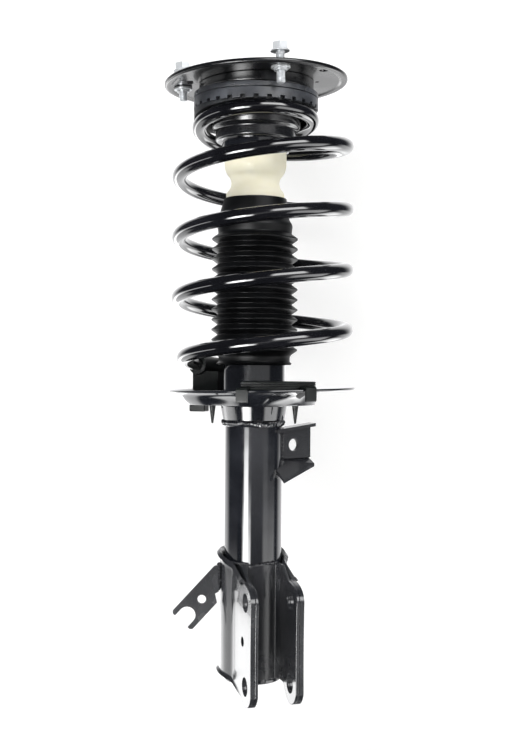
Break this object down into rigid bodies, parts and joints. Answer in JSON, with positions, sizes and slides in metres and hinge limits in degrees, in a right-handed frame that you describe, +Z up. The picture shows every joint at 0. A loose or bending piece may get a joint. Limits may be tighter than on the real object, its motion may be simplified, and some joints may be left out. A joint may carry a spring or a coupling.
{
  "type": "suspension strut assembly",
  "caption": "MacPherson-type strut: telescopic damper with knuckle clamp bracket, coil spring on a dished seat, bump stop, dust boot and swivelling top mount with bearing.",
  "frame": {"origin": "centre of the damper tube's flat base", "axes": "+Z up along the piston rod; the knuckle ears point forward to -Y, turned 17 degrees towards +X; the hose bracket is on the -X side"},
  "size_m": [0.1818, 0.1776, 0.594],
  "materials": {
    "black_paint": "gloss black dip coat",
    "spring_coat": "smooth gloss powder coat",
    "black_rubber": "moulded, satin",
    "grey_plastic": "fine moulded grain",
    "cream_foam": "skinned cellular polyurethane",
    "zinc_steel": "bright zinc plate",
    "bare_steel": "turned",
    "hard_chrome": "ground and polished",
    "bearing_bronze": "sintered, PTFE lined"
  },
  "bodies": {
    "strut_body": {"reservoir_tube": "black_paint", "base_cap": "black_paint", "base_valve": "bare_steel", "pressure_tube": "bare_steel", "rod_guide": "bare_steel", "guide_bush": "bearing_bronze", "rod_seal": "black_rubber", "striker_cap": "bare_steel", "lower_spring_seat": "black_paint", "seat_weld": "black_paint", "lower_isolator": "black_rubber", "coil_spring": "spring_coat", "knuckle_bracket_outer": "black_paint", "knuckle_bracket_inner": "black_paint", "hose_bracket": "black_paint", "link_bracket": "black_paint"},
    "upper_seat": {"upper_isolator": "black_rubber", "upper_spring_seat": "black_paint", "bearing_race": "grey_plastic", "bump_stop_cup": "black_paint", "bump_stop": "cream_foam", "dust_boot": "black_rubber"},
    "bearing_cage": {"ball_cage": "bare_steel"},
    "top_mount": {"bearing_cover": "grey_plastic", "mount_cup": "black_paint", "mount_rubber": "black_rubber", "mount_sleeve": "bare_steel", "mount_plate": "black_paint", "lower_washer": "bare_steel", "upper_washer": "zinc_steel", "rod_nut": "zinc_steel", "piston_rod": "hard_chrome", "piston": "bare_steel", "piston_band": "bearing_bronze", "piston_nut": "bare_steel", "rebound_stop": "black_rubber", "plate_bolt_1": "zinc_steel", "plate_bolt_2": "zinc_steel", "plate_bolt_3": "zinc_steel", "plate_nut_1": "zinc_steel", "plate_nut_2": "zinc_steel", "plate_nut_3": "zinc_steel"}
  },
  "joints": [
    {"name": "damper_stroke", "type": "slide", "parent": "strut_body", "child": "upper_seat", "axis": [0, 0, -1], "range_m": [0, 0.13], "stiffness_N_per_m": 25000, "springref_m": -0.04, "deforming": ["coil_spring", "dust_boot", "bump_stop"]},
    {"name": "steering_swivel", "type": "hinge", "parent": "upper_seat", "child": "top_mount", "pos_m": [0, 0, 0.55], "axis": [0, 0, 1], "continuous": true},
    {"name": "ball_cage_roll", "type": "hinge", "parent": "upper_seat", "child": "bearing_cage", "pos_m": [0, 0, 0.549], "axis": [0, 0, 1], "continuous": true}
  ],
  "couplings": [
    {"joint": "ball_cage_roll", "follows": "steering_swivel", "ratio": 0.5}
  ]
}
